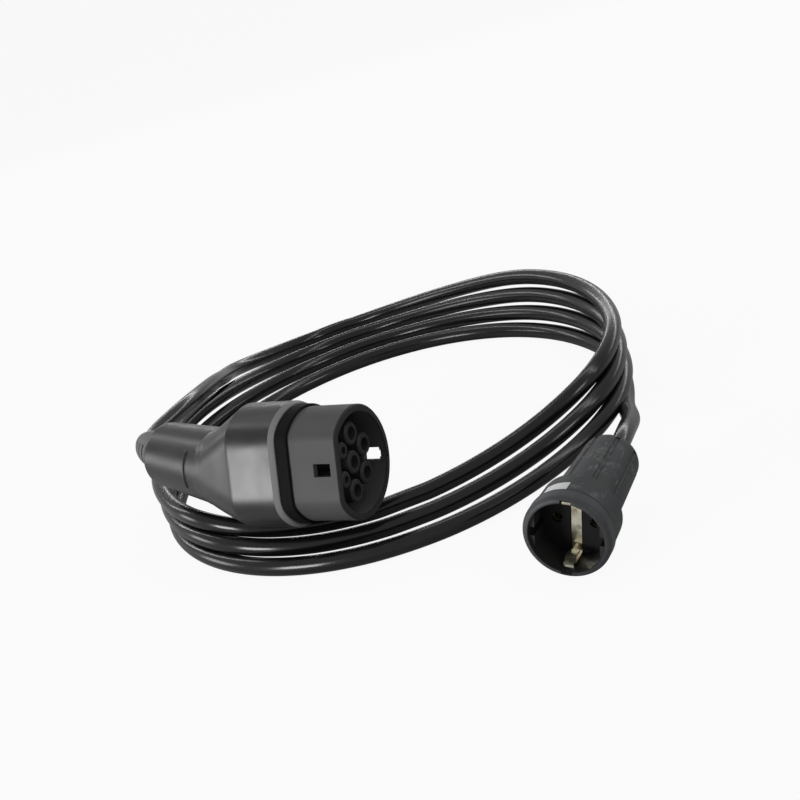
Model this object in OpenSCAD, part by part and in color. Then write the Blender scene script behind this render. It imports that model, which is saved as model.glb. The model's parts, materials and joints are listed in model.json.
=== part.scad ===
// Vehicle-to-load adapter: a seven-pole car plug, a round cable laid in a loose coil and a grounded socket coupler.
// Millimetres. The surface it lies on is z = 0, the plug's mating axis points to +X and the coupler's to -Y.

/* [Plug nose] */
// Outer radius of the D-shaped nose
nose_r = 31.5; // [30:0.1:33]
// Distance from the nose axis to its flat side
nose_flat = 25.5; // [24:0.1:27]
// Radius of the two corners beside the flat
nose_corner = 9; // [6:0.5:11]
// Wall thickness of the nose
nose_wall = 3.8; // [2.8:0.1:4.4]
// Length of the nose that stands out of the seal
nose_len = 29.5; // [27:0.5:32]
// Length of a lock window along the nose
window_len = 10.5; // [8:0.5:12]
// Width of a lock window
window_w = 7; // [5:0.5:8]
// Distance from the rim to a lock window
window_back = 4.5; // [3:0.5:7]

/* [Plug contacts] */
// Radius of a power pin's bore
power_bore_r = 3; // [2.98:0.01:3.02]
// Radius of a signal pin's bore
signal_bore_r = 1.5; // [1.48:0.01:1.52]
// Sideways spacing of the power contacts
power_pitch = 15.8; // [15:0.1:16.5]
// Height of the second power row from the first
second_row = 12.5; // [12:0.1:13]
// Height of the signal row from the first power row
signal_row = 10; // [9.5:0.1:10.5]
// Outer radius of a power sleeve
power_sleeve_r = 6.4; // [6:0.1:6.8]
// Outer radius of a signal sleeve
signal_sleeve_r = 4.6; // [4.2:0.1:4.8]

/* [Plug body] */
// Outer radius of the housing's front
housing_r = 35; // [34.5:0.1:36]
// Length of the housing's straight front part
housing_len = 31; // [26:1:34]
// Wall thickness of the housing
housing_wall = 3.2; // [2.8:0.1:4]
// Radius of the handle where it leaves the housing
handle_r = 22.4; // [21:0.1:23]
// Radius of the handle at its end
handle_end_r = 18.8; // [18:0.1:20]
// Length of the handle
handle_len = 54; // [50:1:60]
// Angle at which the handle bends away from the flat side
handle_bend = 14.8; // [10:0.2:18]
// Length of the bending relief behind the handle
boot_len = 27; // [24:1:32]
// Angle through which the bending relief curves
boot_bend = 36; // [20:2:45]
// Angle at which the handle bends sideways
handle_swing = 7.5; // [0:0.5:9]

/* [Coupler] */
// Outer radius of the coupler's front ring
front_r = 22.6; // [22.4:0.1:24]
// Radius of the round recess
recess_r = 19.3; // [19.2:0.1:19.5]
// Depth of the round recess
recess_depth = 17.5; // [17:0.1:18]
// Spacing of the two pin holes
pin_spacing = 19; // [18.8:0.1:19.2]
// Radius of a pin socket's bore
pin_bore_r = 2.4; // [2.38:0.01:2.42]
// Overall length of the coupler
coupler_len = 83.5; // [80:0.5:90]
// Radius of the coupler's sleeve beside the collar
sleeve_r = 17.5; // [17:0.1:18.5]
// Radius of the coupler's sleeve near its end
sleeve_end_r = 15.2; // [14.5:0.1:16]

/* [Cable] */
// Diameter of the cable
cable_d = 10.4; // [10:0.1:11]

/* [Hidden] */
$fn = 64;
cable_r = cable_d / 2;
core_r = 1.7;

// Where the plug's face and the coupler's face are, and how they lie
plug_pos = [9.9, 5.2, 50.7];
plug_turn = -1.2;
plug_dip = 4.25;
plug_roll = 19;
coupler_pos = [140.7, -48, 22.6];
coupler_turn = 1.2;
coupler_roll = -16;

// Stations along the nose axis, back from the rim
seal_len = 7.5;
seal_z = -nose_len - seal_len;
housing_z = seal_z - housing_len;
nose_seat = 11;
carrier_z = -38;
carrier_t = 6;
retainer_t = 4;
sleeve_top = -4.5;
contact_recess = 5;
contact_z = sleeve_top - contact_recess;
contact_bore = 24;
housing_flat = nose_flat + housing_r - nose_r;
housing_corner = nose_corner + 2;
rim_bevel = 2.4;
handle_start = [-1.4, -5.8, housing_z - 26];
handle_end_round = 6;
handle_hole_r = 9.6;
panel_w = 22;
panel_back = 11;
panel_depth = 0.9;
boot_sides = 40;
boot_ribs = 4;
boot_rib_step = 4.4;
boot_slot = 1.1;
boot_root_r = 12.6;
boot_tip_r = 8.2;
clamp_z = -44;
clamp_t = 8;
cord_end_z = -37;

// Stations along the coupler's axis, back from its face
front_len = 8.5;
collar_len = 18;
insert_len = 18;
insert_plate = 7;
insert_boss_r = 14.2;
collar_z = -front_len - collar_len;
collar_front_r = front_r - 0.6;
collar_taper = 0.8;
spigot_r = 20.6;
spigot_len = 10;
cavity_r = 13.3;
coupler_clamp_z = -68;
coupler_cord_end_z = -58;
label_z = -16.5;
label_len = 7;

// The coil: an oval whose centre moves by coil_step from turn to turn. At its two sides the turns lie on each
// other, at its front and back they lie side by side on the surface.
coil_centre = [-106, 204];
coil_a = 149.4;
coil_b = 172.5;
coil_turn = 33.8;
coil_step = [19.2, -22.7];
coil_shrink = 0.009;
coil_pitch = 11.3;
coil_lean = [1.38, -1.5];
side_from = 26;
side_to = 86;
turns_from = 0.15;
turns_to = 3.5;

lead_in = [
    [-156, 44, 61], [-161, 52, 60], [-165, 63, 59.5], [-168, 79, 58.5], [-171, 99, 57], [-178, 126, 53],
    [-190, 156, 46.5], [-205, 189, 38], [-218, 216, 30], [-227.8, 239.7, 23.9]];
lead_out = [
    [81.4, 205, 5.2], [94, 179, 5.4], [105, 151, 6.5], [115, 123, 9.5], [127, 97, 14], [134, 73, 19.5],
    [138, 52, 22.3], [139, 35.5, 22.6]];

function smooth(x) = let(c = min(max(x, 0), 1)) c * c * (3 - 2 * c);

// Centre of the cable after n turns, counted from the left side and going round by the back
function turn_level(n, t) = cos(t) > 0 ? max(0, 3 - floor(n)) : max(0, 3 - round(n));
function coil_point(n) =
    let(t = 180 - 360 * n,
        k = 1 - coil_shrink * n,
        u = coil_a * cos(t) * k,
        v = coil_b * sin(t) * k,
        from_side = abs(((t + 90) % 180 + 180) % 180 - 90),
        side = 1 - smooth((from_side - side_from) / (side_to - side_from)),
        lift = coil_pitch * turn_level(n, t) * side)
    [coil_centre[0] + coil_step[0] * n + u * cos(coil_turn) - v * sin(coil_turn) + coil_lean[0] * lift,
     coil_centre[1] + coil_step[1] * n + u * sin(coil_turn) + v * cos(coil_turn) + coil_lean[1] * lift,
     cable_r + lift];

// A round tube along a list of points, closed at both ends
module tube_along(points, r, sides = 10, across = [0, 0, 1]) {
    last = len(points) - 1;
    rings = [for (i = [0:last])
        let(d = points[min(i + 1, last)] - points[max(i - 1, 0)],
            t = d / norm(d),
            s = cross(t, across) / norm(cross(t, across)),
            w = cross(s, t))
        for (j = [0:sides - 1]) points[i] + r * (cos(360 * j / sides) * s + sin(360 * j / sides) * w)];
    sides_faces = [for (i = [0:last - 1], j = [0:sides - 1])
        let(a = i * sides + j, b = i * sides + (j + 1) % sides) [a, b, b + sides, a + sides]];
    start = [for (j = [sides - 1:-1:0]) j];
    end = [for (j = [0:sides - 1]) last * sides + j];
    polyhedron(rings, concat([start], sides_faces, [end]), convexity = 6);
}

// A straight round rod between two points
module rod(p, q, r) {
    d = q - p;
    translate(p)
        rotate([0, acos(d[2] / norm(d)), atan2(d[1], d[0])])
            cylinder(h = norm(d), r = r);
}

// Outline of a D: a circle with one flat side and two round corners beside it
function corner_x(r, f, c) = sqrt((r - c) * (r - c) - (f - c) * (f - c));
module d_sector(r, f, c) {
    x = 3 * corner_x(r, f, c);
    y = 3 * (f - c);
    polygon([[0, 0], [x, y], [3 * r, -3 * r], [-3 * r, -3 * r], [-x, y]]);
}
module d_profile(r, f, c) {
    x = corner_x(r, f, c);
    intersection() {
        circle(r);
        d_sector(r, f, c);
    }
    for (side = [-1, 1]) translate([side * x, f - c]) circle(c);
    translate([-x, 0]) square([2 * x, f]);
}

// A block with the D outline, its far edge bevelled
module d_block(r, f, c, h, bevel = 0.8) {
    x = corner_x(r, f, c);
    linear_extrude(h - bevel) d_profile(r, f, c);
    translate([0, 0, h - bevel]) {
        intersection() {
            cylinder(h = bevel, r1 = r, r2 = r - bevel);
            linear_extrude(bevel) d_sector(r, f, c);
        }
        for (side = [-1, 1]) translate([side * x, f - c]) cylinder(h = bevel, r1 = c, r2 = c - bevel);
        translate([-x, 0, 0])
            rotate([90, 0, 90])
                linear_extrude(2 * x) polygon([[0, 0], [f, 0], [f - bevel, bevel], [0, bevel]]);
    }
}

module on_plug() {
    translate(plug_pos) rotate([0, 90 + plug_dip, plug_turn]) rotate([0, 0, 180 - plug_roll]) children();
}
module on_handle() {
    on_plug() translate(handle_start) rotate([-handle_bend, 0, 0]) rotate([0, -handle_swing, 0]) children();
}
module on_coupler() {
    translate(coupler_pos) rotate([90, 0, coupler_turn]) children();
}

// Places of the plug's seven poles
power_places = [
    [power_pitch, 0], [0, 0], [-power_pitch, 0],
    [power_pitch / 2, -second_row], [-power_pitch / 2, -second_row]];
signal_places = [[power_pitch / 2, signal_row], [-power_pitch / 2, signal_row]];

module nose_shroud() {
    inner = nose_r - nose_wall;
    inner_flat = nose_flat - nose_wall;
    inner_corner = nose_corner - nose_wall;
    color("#3c3c3d") on_plug() difference() {
        translate([0, 0, seal_z - nose_seat])
            d_block(nose_r, nose_flat, nose_corner, nose_seat - seal_z, 0.9);
        translate([0, 0, carrier_z + carrier_t + 1.4])
            linear_extrude(60) d_profile(inner, inner_flat, inner_corner);
        translate([0, 0, seal_z - nose_seat - 1])
            linear_extrude(nose_seat + 1 - seal_z + carrier_z + carrier_t)
                d_profile(inner, inner_flat, inner_corner);
        translate([0, 0, -60]) linear_extrude(61)
            d_profile(inner - 1.2, inner_flat - 1.2, inner_corner - 1.2);
        for (side = [0, 1]) rotate([0, 0, 180 * side])
            translate([-window_w / 2, 15, -window_back - window_len]) cube([window_w, 20, window_len]);
        translate([-1.8, -inner - 1.2, -window_back - 1]) cube([3.6, 3, 20]);
    }
}

module nose_seal() {
    color("#1c1c1d") on_plug() translate([0, 0, seal_z]) difference() {
        d_block(nose_r + 2.9, nose_flat + 2.9, nose_corner + 2.9, seal_len, 0.7);
        translate([0, 0, -1]) linear_extrude(seal_len + 2) d_profile(nose_r, nose_flat, nose_corner);
    }
}

// Distance from the axis to a D outline in the direction a, counted from the middle of its flat
function d_radius(a, r, f, c) =
    let(x = corner_x(r, f, c), b = abs(a), flat_end = atan2(x, f), corner_end = atan2(x, f - c))
    b < flat_end ? f / cos(b)
    : b < corner_end ? (r - c) * cos(b - corner_end) + sqrt(c * c - pow((r - c) * sin(b - corner_end), 2))
    : r;

// A section is [place of its centre, how far it is turned into the handle's direction, r, f, c]
loft_sides = 60;
function on_bend(p, t) =
    let(b = handle_bend * t, w = handle_swing * t,
        q = [p[0] * cos(w) - p[2] * sin(w), p[1], p[0] * sin(w) + p[2] * cos(w)])
    [q[0], q[1] * cos(b) + q[2] * sin(b), q[2] * cos(b) - q[1] * sin(b)];
function section_points(q) = [for (j = [0:loft_sides - 1])
    let(a = 360 * j / loft_sides - 180, d = d_radius(a, q[2], q[3], q[4]))
    q[0] + on_bend([d * sin(a), d * cos(a), 0], q[1])];
function nose_section(z, grow) = [[0, 0, z], 0, housing_r + grow, housing_flat + grow, housing_corner + grow];
function handle_section(s, r) = [handle_start + on_bend([0, 0, -s], 1), 1, r, r, r];
function mid_section(p, q, t) = [for (k = [0:4]) p[k] * (1 - t) + q[k] * t];
function handle_point(p) = handle_start + on_bend(p, 1);
// Radius of the handle at a distance s from its start
function handle_radius(s) = handle_r + (handle_end_r - handle_r) * s / handle_len;

// A closed shell through a list of rings, which run back along the outside and forward again along the inside
module loft_shell(rings) {
    n = len(rings);
    sides = len(rings[0]);
    faces = [for (i = [0:n - 1], j = [0:sides - 1])
        let(a = i * sides + j,
            b = i * sides + (j + 1) % sides,
            c = ((i + 1) % n) * sides + (j + 1) % sides,
            d = ((i + 1) % n) * sides + j) [d, c, b, a]];
    polyhedron([for (r = rings) each r], faces, convexity = 8);
}

module plug_housing() {
    wall = housing_wall;
    end = handle_len;
    gap = 0.2;
    cone_front = nose_section(housing_z, 0);
    cone_back = handle_section(0, handle_r);
    cone_back_inside = handle_section(0, handle_r - wall);
    round_r = handle_end_round;
    outside = [
        nose_section(seal_z, -rim_bevel),
        nose_section(seal_z - rim_bevel, 0),
        cone_front,
        for (t = [0.25:0.25:0.75]) mid_section(cone_front, cone_back, t),
        cone_back,
        for (a = [0:22.5:90])
            handle_section(end - round_r * (1 - sin(a)), handle_radius(end - round_r) - round_r * (1 - cos(a))),
        handle_section(end, handle_hole_r)];
    inside = [
        handle_section(end - wall, handle_hole_r),
        handle_section(end - wall, handle_radius(end) - wall - 2.5),
        handle_section(end - wall - 2.5, handle_radius(end - wall - 2.5) - wall),
        cone_back_inside,
        mid_section(nose_section(housing_z, -wall), cone_back_inside, 0.5),
        nose_section(housing_z, -wall),
        nose_section(seal_z - nose_seat, -wall),
        [[0, 0, seal_z - nose_seat], 0, nose_r + gap, nose_flat + gap, nose_corner + gap],
        [[0, 0, seal_z], 0, nose_r + gap, nose_flat + gap, nose_corner + gap]];
    color("#4a4a4b") difference() {
        on_plug() loft_shell([for (q = concat(outside, inside)) section_points(q)]);
        on_handle() thumb_panel();
    }
}

// Shallow panel on the handle's flat side, open towards the nose
module thumb_panel() {
    translate([0, 0, -panel_back]) difference() {
        translate([-panel_w / 2, 0, 0]) cube([panel_w, handle_r + 5, panel_back - 0.6]);
        translate([0, 0, -1])
            cylinder(h = panel_back + 1, r1 = handle_radius(panel_back) - panel_depth, r2 = handle_r - 0.2);
    }
}

module contact_carrier() {
    inner = nose_r - nose_wall;
    color("#2b2b2c") on_plug() difference() {
        union() {
            translate([0, 0, carrier_z])
                linear_extrude(carrier_t) d_profile(inner, nose_flat - nose_wall, nose_corner - nose_wall);
            for (p = power_places) translate([p[0], p[1], carrier_z]) sleeve_shape(power_sleeve_r);
            for (p = signal_places) translate([p[0], p[1], carrier_z]) sleeve_shape(signal_sleeve_r);
        }
        for (p = power_places) translate([p[0], p[1], carrier_z - 1]) sleeve_bore(4.2, 3.75);
        for (p = signal_places) translate([p[0], p[1], carrier_z - 1]) sleeve_bore(2.5, 2.1);
    }
}
module sleeve_shape(r) {
    h = sleeve_top - carrier_z;
    cylinder(h = h - 0.8, r = r);
    translate([0, 0, h - 0.8]) cylinder(h = 0.8, r1 = r, r2 = r - 0.8);
}
module sleeve_bore(r, mouth_r) {
    cylinder(h = contact_z - carrier_z + 1, r = r);
    cylinder(h = sleeve_top - carrier_z + 2, r = mouth_r);
}

// Turned socket: bored at its front, with a solid tail that takes the core
module turned_socket(place, r, bore_r) {
    color("#c9b98a") on_plug() translate([place[0], place[1], 0]) difference() {
        union() {
            translate([0, 0, carrier_z - 14]) cylinder(h = contact_z - carrier_z + 14, r = r);
            translate([0, 0, carrier_z - 2]) cylinder(h = 2, r = r + 1.2);
        }
        translate([0, 0, contact_z - contact_bore]) cylinder(h = 30, r = bore_r);
        translate([0, 0, carrier_z - 15]) cylinder(h = 6, r = min(core_r, r - 0.8));
    }
}
module line_contact() {
    turned_socket(power_places[0], 4.2, power_bore_r);
}
module neutral_contact() {
    turned_socket(power_places[2], 4.2, power_bore_r);
}
module earth_contact() {
    turned_socket(power_places[1], 4.2, power_bore_r);
}
module pilot_contact() {
    turned_socket(signal_places[0], 2.5, signal_bore_r);
}
module proximity_contact() {
    turned_socket(signal_places[1], 2.5, signal_bore_r);
}

retainer_screw_places = [[0, 17.5], [20, -10.5], [-20, -10.5]];
module contact_retainer() {
    color("#2b2b2c") on_plug() difference() {
        translate([0, 0, carrier_z - retainer_t])
            linear_extrude(retainer_t)
                d_profile(nose_r - nose_wall, nose_flat - nose_wall, nose_corner - nose_wall);
        for (p = power_places) translate([p[0], p[1], carrier_z - 2]) cylinder(h = 3, r = 5.4);
        for (p = signal_places) translate([p[0], p[1], carrier_z - 2]) cylinder(h = 3, r = 3.7);
        for (p = power_places) translate([p[0], p[1], carrier_z - 9]) cylinder(h = 12, r = 4.2);
        for (p = signal_places) translate([p[0], p[1], carrier_z - 9]) cylinder(h = 12, r = 2.5);
        for (p = retainer_screw_places) translate([p[0], p[1], carrier_z - 9]) cylinder(h = 12, r = 1.25);
    }
}
module retainer_screws() {
    color("silver") on_plug() for (p = retainer_screw_places)
        translate([p[0], p[1], carrier_z - retainer_t]) {
        cylinder(h = retainer_t, r = 1.25);
        translate([0, 0, -2]) pan_head(2.4, 2);
    }
}

// Screw head with a slot, its underside at the top
module pan_head(r, h) {
    difference() {
        cylinder(h = h, r = r);
        translate([-r - 1, -0.3, -1]) cube([2 * r + 2, 0.6, 1.7]);
    }
}

module coding_resistor() {
    a = [signal_places[1][0], signal_places[1][1] - 2.5, carrier_z - 10];
    b = [0, 4.2, carrier_z - 10];
    mid = (a + b) / 2;
    u = (b - a) / norm(b - a);
    color("#b7a27a") on_plug() {
        rod(a, b, 0.35);
        rod(mid - 1.2 * u, mid + 1.2 * u, 0.9);
    }
}

clamp_r = handle_radius(-clamp_z) - housing_wall - 0.15;
// Two halves of a round clamp that holds the cable
clamp_screw_x = cable_r + 3;
clamp_head_y = 5;
module clamp_halves(r, t) {
    for (side = [-1, 1]) difference() {
        intersection() {
            cylinder(h = t, r = r);
            translate([-r, side > 0 ? 0.4 : -r - 0.4, 0]) cube([2 * r, r, t]);
        }
        translate([0, 0, -1]) cylinder(h = t + 2, r = cable_r);
        for (x = [-1, 1]) translate([x * clamp_screw_x, 0, t / 2]) rotate([90, 0, 0]) {
            translate([0, 0, -clamp_head_y]) cylinder(h = 2 * clamp_head_y + 1, r = 1.25);
            translate([0, 0, clamp_head_y]) cylinder(h = r, r = 2.6);
        }
    }
}
module clamp_screws(t) {
    for (x = [-1, 1]) translate([x * clamp_screw_x, 0, t / 2]) rotate([90, 0, 0]) {
        translate([0, 0, -clamp_head_y]) cylinder(h = 2 * clamp_head_y, r = 1.25);
        translate([0, 0, clamp_head_y + 2]) mirror([0, 0, 1]) pan_head(2.4, 2);
    }
}
module plug_cord_clamp() {
    color("#2b2b2c") on_handle() translate([0, 0, clamp_z]) clamp_halves(clamp_r, clamp_t);
}
module plug_clamp_screws() {
    color("silver") on_handle() translate([0, 0, clamp_z]) clamp_screws(clamp_t);
}

// The boot's middle line: straight inside the handle, then an arc away from the flat side
boot_arc_r = boot_len / (boot_bend * PI / 180);
function boot_angle(t) = max(t, 0) / boot_len * boot_bend;
function boot_centre(t) =
    [0, -boot_arc_r * (1 - cos(boot_angle(t))), -handle_len - (t < 0 ? t : boot_arc_r * sin(boot_angle(t)))];
function boot_ring(t, full_r, slot = 0) = [for (j = [0:boot_sides - 1])
    let(a = 360 * j / boot_sides, b = boot_angle(t), r = full_r - (abs(cos(a)) > 0.78 ? slot : 0))
    boot_centre(t) + [r * sin(a), r * cos(a) * cos(b), -r * cos(a) * sin(b)]];
function boot_radius(t) = boot_root_r - (boot_root_r - boot_tip_r) * t / boot_len;
module plug_boot() {
    flange = housing_wall + 2.5;
    wall = housing_wall;
    outside = [
        boot_ring(-flange, 13), boot_ring(-wall, 13), boot_ring(-wall, 9.5), boot_ring(0, 9.5),
        boot_ring(0, boot_root_r),
        for (i = [0:boot_ribs - 1])
            let(a = 6.5 + boot_rib_step * i, b = a + boot_rib_step * 0.45)
            each [boot_ring(a, boot_radius(a)), boot_ring(a + 0.2, boot_radius(a), boot_slot),
                boot_ring(b, boot_radius(b), boot_slot), boot_ring(b + 0.2, boot_radius(b))],
        boot_ring(boot_len - 1, boot_tip_r + 0.3), boot_ring(boot_len, boot_tip_r - 0.6)];
    inside = [for (t = [boot_len, 21, 15, 9, 3, -flange]) boot_ring(t, cable_r + 0.05)];
    color("#4b4c4e") on_handle() loft_shell(concat(outside, inside));
}

module plug_cord_end() {
    path = [boot_centre(-handle_len - cord_end_z), boot_centre(0), for (t = [3:3:boot_len]) boot_centre(t)];
    color("#18181a") on_handle() tube_along(path, cable_r, 24, [1, 0, 0]);
}

// Places of the three cores in the cable's end
function core_place(i) = [2.2 * cos(120 * i + 30), 2.2 * sin(120 * i + 30), 0];
module plug_core(i, place) {
    color(["#6b4423", "#2f5fa8", "#8aa33a"][i]) on_plug()
        rod(handle_point(core_place(i) + [0, 0, cord_end_z]), [place[0], place[1], carrier_z - 14.6], core_r);
}
module plug_line_core() {
    plug_core(0, power_places[0]);
}
module plug_neutral_core() {
    plug_core(1, power_places[2]);
}
module plug_earth_core() {
    plug_core(2, power_places[1]);
}

// Coupler
module coupler_body() {
    end_round = 7;
    outline = [
        [0, -front_len], [collar_front_r, -front_len], [collar_front_r - collar_taper, collar_z + 1],
        [collar_front_r - collar_taper - 0.8, collar_z], [sleeve_r, collar_z - 2.5],
        for (a = [0:15:90])
            [sleeve_end_r - end_round * (1 - cos(a)), -coupler_len + end_round * (1 - sin(a))],
        [0, -coupler_len]];
    color("#34383b") on_coupler() difference() {
        rotate_extrude() polygon(outline);
        translate([0, 0, -front_len - spigot_len]) cylinder(h = spigot_len + 1, r = spigot_r);
        translate([0, 0, -recess_depth - insert_plate]) cylinder(h = 30, r = recess_r);
        translate([0, 0, -recess_depth - insert_len]) cylinder(h = insert_len, r = insert_boss_r);
        translate([0, 0, coupler_clamp_z - 4]) cylinder(h = 40, r = cavity_r);
        translate([0, 0, -coupler_len - 1]) cylinder(h = 30, r = cable_r);
        for (i = [0:7]) rotate([0, 0, 45 * i + 12]) sleeve_groove();
    }
}
module sleeve_groove() {
    rod([sleeve_r + 0.5, 0, collar_z - 5], [sleeve_end_r + 0.5, 0, -coupler_len + 5], 1.5);
}

module coupler_front() {
    rail_w = 7.4;
    color("#2f3234") on_coupler() rotate([0, 0, coupler_roll]) {
        difference() {
            rotate_extrude() {
                difference() {
                    union() {
                        translate([0, -front_len]) square([front_r, front_len - 3]);
                        translate([0, -4]) square([front_r - 3, 4]);
                        translate([front_r - 3, -3]) circle(3);
                        translate([0, -front_len - spigot_len]) square([spigot_r, spigot_len + 1]);
                    }
                    translate([-1, -front_len - spigot_len - 1]) square([recess_r + 1, 40]);
                }
            }
            for (side = [-1, 1]) translate([-2.8, side * (recess_r + 0.2) - 1.4, -5]) cube([5.6, 2.8, 6]);
        }
        for (x = [-1, 1], y = [-1, 1]) intersection() {
            translate([0, 0, -recess_depth]) cylinder(h = recess_depth - 2, r = recess_r + 0.5);
            translate([x > 0 ? 16.4 : -20.4, y > 0 ? 2.45 : -2.45 - rail_w, -recess_depth])
                cube([4, rail_w, recess_depth]);
        }
    }
}

module socket_insert() {
    color("#26282a") on_coupler() rotate([0, 0, coupler_roll]) difference() {
        union() {
            translate([0, 0, -recess_depth - insert_plate]) cylinder(h = insert_plate, r = recess_r);
            translate([0, 0, -recess_depth - insert_len]) cylinder(h = insert_len, r = insert_boss_r);
        }
        for (x = [-1, 1]) translate([x * pin_spacing / 2, 0, -60]) {
            cylinder(h = 60, r = 2.75);
            cylinder(h = 60 - recess_depth - 2, r = 3.6);
        }
        translate([-2.5, -0.4, -60]) cube([5, 0.8, 60]);
        translate([-3, -recess_r - 1, -recess_depth - 1.2]) cube([6, 2 * recess_r + 2, 2]);
    }
}

// A bent strip drawn by its middle line
function unit(v) = v / norm(v);
function ribbon_side(points, t, side) = [for (i = [0:len(points) - 1])
    let(last = len(points) - 1,
        before = unit(points[max(i, 1)] - points[max(i, 1) - 1]),
        after = unit(points[min(i, last - 1) + 1] - points[min(i, last - 1)]),
        along = unit(before + after))
    points[i] + side * t / 2 / (along * before) * [-along[1], along[0]]];
module ribbon(points, t) {
    left = ribbon_side(points, t, 1);
    right = ribbon_side(points, t, -1);
    polygon(concat(left, [for (i = [len(points) - 1:-1:0]) right[i]]));
}

module earth_bracket() {
    floor_z = -recess_depth - 0.8;
    arm = [
        [0, floor_z], [17.7, floor_z], [18.7, floor_z + 1], [18.7, -4.6], [18.2, -3.7], [17.3, -3.7],
        [14.5, -8.6], [14.4, -9.6], [15.6, -14.5]];
    color("#c8c6ba") on_coupler() rotate([0, 0, coupler_roll]) {
        for (side = [0, 1]) rotate([0, 0, 180 * side])
            translate([2.6, 0, 0]) rotate([90, 0, -90]) linear_extrude(5.2)
                mirror([1, 0, 0]) ribbon(arm, 0.8);
        translate([-2.5, -0.4, -recess_depth - insert_len - 8]) cube([5, 0.8, insert_len + 8 - 0.8]);
    }
}

module pin_socket(side) {
    color("#c9b98a") on_coupler() rotate([0, 0, coupler_roll])
        translate([side * pin_spacing / 2, 0, 0]) difference() {
        union() {
            translate([0, 0, -recess_depth - insert_len - 8]) cylinder(h = insert_len + 8 - 2, r = 3.6);
        }
        translate([0, 0, -recess_depth - 2 - 17]) cylinder(h = 30, r = pin_bore_r);
        translate([0, 0, -recess_depth - insert_len - 9]) cylinder(h = 7, r = core_r);
        translate([0, 0, -recess_depth - insert_len - 4]) rotate([-90, 0, 0]) cylinder(h = 10, r = 1.25);
    }
}
module line_socket() {
    pin_socket(1);
}
module neutral_socket() {
    pin_socket(-1);
}
module terminal_screws() {
    color("silver") on_coupler() rotate([0, 0, coupler_roll]) for (side = [-1, 1])
        translate([side * pin_spacing / 2, 0, -recess_depth - insert_len - 4]) rotate([-90, 0, 0]) {
            translate([0, 0, core_r]) cylinder(h = 3.6 - core_r, r = 1.25);
            translate([0, 0, 3.6 + 1.8]) mirror([0, 0, 1]) pan_head(2.2, 1.8);
        }
}

module coupler_cord_clamp() {
    color("#26282a") on_coupler() translate([0, 0, coupler_clamp_z]) clamp_halves(cavity_r, clamp_t);
}
module coupler_clamp_screws() {
    color("silver") on_coupler() translate([0, 0, coupler_clamp_z]) clamp_screws(clamp_t);
}
module coupler_cord_end() {
    color("#18181a") on_coupler() translate([0, 0, -coupler_len])
        cylinder(h = coupler_len + coupler_cord_end_z, r = cable_r);
}
module coupler_core(i, place) {
    color(["#6b4423", "#2f5fa8", "#8aa33a"][i]) on_coupler() rotate([0, 0, coupler_roll])
        rod(core_place(i) + [0, 0, coupler_cord_end_z], place, core_r);
}
module coupler_line_core() {
    coupler_core(0, [pin_spacing / 2, 0, -recess_depth - insert_len - 8.6]);
}
module coupler_neutral_core() {
    coupler_core(1, [-pin_spacing / 2, 0, -recess_depth - insert_len - 8.6]);
}
module coupler_earth_core() {
    coupler_core(2, [0, -core_r, -recess_depth - insert_len - 8.6]);
}

// Bare white label on the collar
function collar_r(z) = collar_front_r + collar_taper * (z + front_len) / (collar_len - 1);
module blank_label() {
    color("white") on_coupler() intersection() {
        difference() {
            translate([0, 0, label_z])
                cylinder(h = label_len, r1 = collar_r(label_z) + 0.15, r2 = collar_r(label_z + label_len) + 0.15);
            translate([0, 0, label_z - 1])
                cylinder(h = label_len + 2, r1 = collar_r(label_z - 1), r2 = collar_r(label_z + label_len + 1));
        }
        rotate([0, 0, 96]) translate([10, -6.2, -40]) cube([20, 12.4, 40]);
    }
}

// Cable
module cable_lead_in() {
    color("#18181a") tube_along(lead_in, cable_r);
}
module cable_lead_out() {
    color("#18181a") tube_along(lead_out, cable_r);
}

// The coil as one closed ring: at each station it spans all the turns that pass there, from the surface up
coil_middle = [-69, 156];
coil_stations = 60;
function station_points(i) =
    let(t = 360 * i / coil_stations,
        n0 = (180 - t) / 360,
        turns = [for (k = [0:4]) if (n0 + k >= turns_from && n0 + k <= turns_to) coil_point(n0 + k)],
        flat = [for (p = turns) [p[0] - coil_middle[0], p[1] - coil_middle[1]]],
        mean = [for (k = [0, 1]) [for (q = flat) q[k]] * [for (q = flat) 1 / len(flat)]],
        out = mean / norm(mean),
        reach = [for (q = flat) q * out],
        height = [for (p = turns) p[2] + cable_r],
        low = min(reach),
        high = max(reach),
        top = max(height),
        low_top = height[search(low, reach)[0]],
        high_top = height[search(high, reach)[0]],
        top_at = reach[search(top, height)[0]],
        edge = cable_r * 0.5)
    [for (q = [
        [high + cable_r, 0], [high + cable_r, high_top - edge], [max(top_at + edge, high), top],
        [min(top_at - edge, low), top], [low - cable_r, low_top - edge], [low - cable_r, 0]])
        [coil_middle[0] + q[0] * out[0], coil_middle[1] + q[0] * out[1], q[1]]];
module cable_coil() {
    points = [for (i = [0:coil_stations - 1]) each station_points(i)];
    faces = [for (i = [0:coil_stations - 1], j = [0:5])
        let(next = (i + 1) % coil_stations, up = (j + 1) % 6)
        [6 * i + j, 6 * i + up, 6 * next + up, 6 * next + j]];
    color("#18181a") polyhedron(points, faces, convexity = 6);
}

plug_housing();
nose_shroud();
nose_seal();
contact_carrier();
line_contact();
neutral_contact();
earth_contact();
pilot_contact();
proximity_contact();
contact_retainer();
retainer_screws();
coding_resistor();
plug_cord_clamp();
plug_clamp_screws();
plug_boot();
plug_cord_end();
plug_line_core();
plug_neutral_core();
plug_earth_core();
coupler_body();
coupler_front();
socket_insert();
earth_bracket();
line_socket();
neutral_socket();
terminal_screws();
coupler_cord_clamp();
coupler_clamp_screws();
coupler_cord_end();
coupler_line_core();
coupler_neutral_core();
coupler_earth_core();
blank_label();
cable_lead_in();
cable_coil();
cable_lead_out();
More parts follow.
